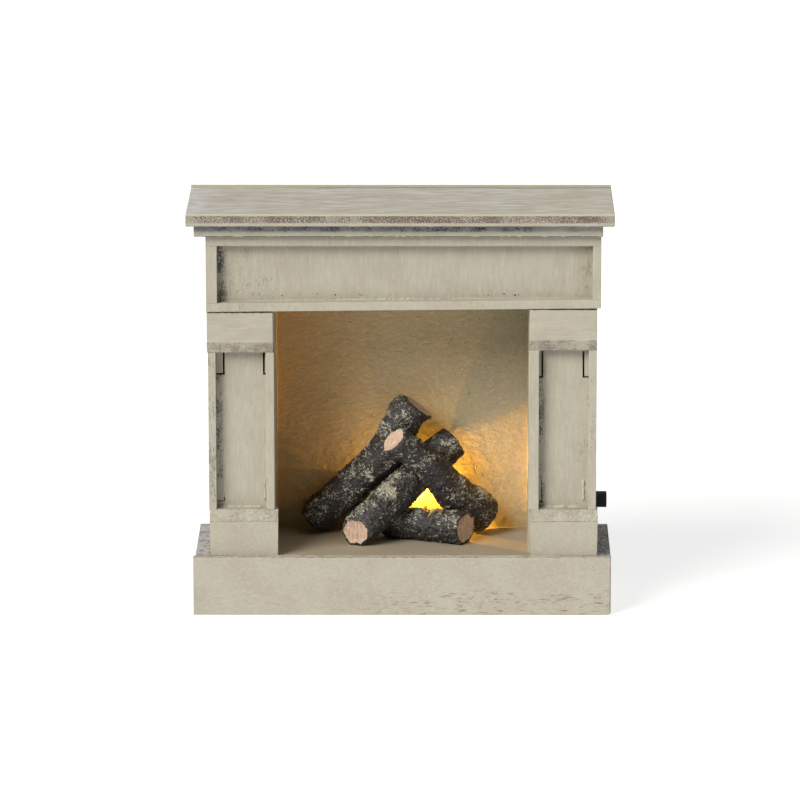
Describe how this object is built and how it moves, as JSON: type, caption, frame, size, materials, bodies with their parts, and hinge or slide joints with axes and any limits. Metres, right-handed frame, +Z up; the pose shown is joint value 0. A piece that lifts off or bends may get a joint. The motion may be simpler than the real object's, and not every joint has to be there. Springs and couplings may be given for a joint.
{
  "type": "miniature fireplace mantel",
  "caption": "Dolls house fireplace mantel with panelled columns, bevelled capitals, a shelf, a raised hearth, a lit log pile, a side switch and a battery box let into the back.",
  "frame": {"origin": "on the surface it stands on, under the middle of its outline", "axes": "+X to the right along the shelf, +Y to the back, +Z up; the fire opening faces -Y"},
  "size_m": [0.16, 0.056, 0.1556],
  "materials": {
    "painted_board": "matt greige paint brushed over thin board, rubbed back and stained at its edges",
    "back_board": "bare thin board, painted round its edges",
    "log_bark": "rough dark bark with pale specks and pale sawn ends",
    "lamp_lens": "clear warm lens, lit",
    "black_plastic": "moulded, slightly grained",
    "switch_plastic": "moulded, worn smooth",
    "tinned_metal": "tinned",
    "red_wire": "smooth insulation",
    "black_wire": "smooth insulation",
    "cell_sleeve": "plain printed sleeve with a bare metal end, no lettering"
  },
  "bodies": {
    "mantel": {"back_panel": "back_board", "base_bottom": "back_board", "base_front": "painted_board", "base_left_end": "painted_board", "base_right_end": "painted_board", "battery_box": "black_plastic", "battery_cell_1": "cell_sleeve", "battery_cell_2": "cell_sleeve", "battery_contacts": "tinned_metal", "battery_springs": "tinned_metal", "firebox_back": "painted_board", "frieze_left_end": "painted_board", "frieze_left_strip": "painted_board", "frieze_low_strip": "painted_board", "frieze_panel": "painted_board", "frieze_right_end": "painted_board", "frieze_right_strip": "painted_board", "frieze_soffit": "painted_board", "frieze_top_strip": "painted_board", "hearth_board": "painted_board", "led_holder": "black_plastic", "led_leads": "tinned_metal", "led_lens": "lamp_lens", "left_capital": "painted_board", "left_inner_strip": "painted_board", "left_inner_wall": "painted_board", "left_outer_strip": "painted_board", "left_outer_wall": "painted_board", "left_panel": "painted_board", "left_plinth": "painted_board", "log_front": "log_bark", "log_left": "log_bark", "log_low": "log_bark", "log_right": "log_bark", "moulding_board": "painted_board", "right_capital": "painted_board", "right_inner_strip": "painted_board", "right_inner_wall": "painted_board", "right_outer_strip": "painted_board", "right_outer_wall": "painted_board", "right_panel": "painted_board", "right_plinth": "painted_board", "shelf_board": "painted_board", "switch_body": "black_plastic", "switch_terminals": "tinned_metal", "wire_box_to_switch": "red_wire", "wire_lamp_to_box": "black_wire", "wire_switch_to_lamp": "red_wire"},
    "cover": {"battery_cover": "black_plastic"},
    "knob": {"switch_knob": "switch_plastic"}
  },
  "joints": [
    {"name": "cover_hinge", "type": "hinge", "parent": "mantel", "child": "cover", "pos_m": [-0.0247, 0.0269, 0.1332], "axis": [0, 0, 1], "range_deg": [0, 90]},
    {"name": "switch_slide", "type": "slide", "parent": "mantel", "child": "knob", "axis": [0, 0, 1], "range_m": [-0.0026, 0]}
  ]
}
